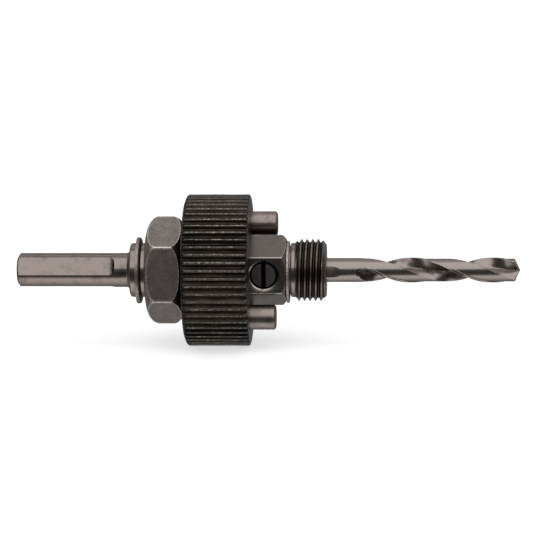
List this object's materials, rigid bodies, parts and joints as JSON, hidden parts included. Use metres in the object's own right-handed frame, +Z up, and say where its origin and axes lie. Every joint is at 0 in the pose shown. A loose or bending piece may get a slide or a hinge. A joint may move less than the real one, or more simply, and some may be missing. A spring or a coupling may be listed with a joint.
{
  "type": "hole saw arbor",
  "caption": "Hole saw arbor with a three-flat shank, lock nut, knurled sliding collar with drive pins, threaded nose and a clamped pilot drill.",
  "frame": {"origin": "on the tool's axis, where the nose thread begins behind its first crest", "axes": "+X along the axis from the shank to the drill's point, +Z up, -Y towards the set screw"},
  "size_m": [0.1285, 0.0388, 0.0388],
  "materials": {
    "bar_steel": "turned and milled steel, lightly oxidised",
    "rear_ring_steel": "dark spring steel",
    "front_ring_steel": "spring steel",
    "nut_steel": "mottled plated steel with worn bright edges",
    "collar_steel": "straight-knurled plated steel",
    "pin_steel": "ground steel",
    "screw_steel": "blackened steel",
    "drill_steel": "bright ground high speed steel"
  },
  "bodies": {
    "arbor": {"arbor_body": "bar_steel", "rear_retaining_ring": "rear_ring_steel", "front_retaining_ring": "front_ring_steel"},
    "collar": {"drive_collar": "collar_steel", "drive_pin_upper": "pin_steel", "drive_pin_lower": "pin_steel"},
    "nut": {"lock_nut": "nut_steel"},
    "screw": {"set_screw": "screw_steel"},
    "drill": {"pilot_drill": "drill_steel"}
  },
  "joints": [
    {"name": "collar_slide", "type": "slide", "parent": "arbor", "child": "collar", "axis": [1, 0, 0], "range_m": [-0.00125, 0.00888]},
    {"name": "nut_turn", "type": "hinge", "parent": "collar", "child": "nut", "pos_m": [-0.03305, 0, 0], "axis": [1, 0, 0], "range_deg": [-320, 2268]},
    {"name": "drill_slide", "type": "slide", "parent": "arbor", "child": "drill", "axis": [1, 0, 0], "range_m": [0, 0.03]},
    {"name": "set_screw_turn", "type": "hinge", "parent": "arbor", "child": "screw", "pos_m": [-0.00783, -0.00516, 0], "axis": [0, -1, 0], "range_deg": [0, 720]}
  ],
  "couplings": [
    {"joint": "nut_turn", "follows": "collar_slide", "rad_per_m": 4452.6}
  ]
}
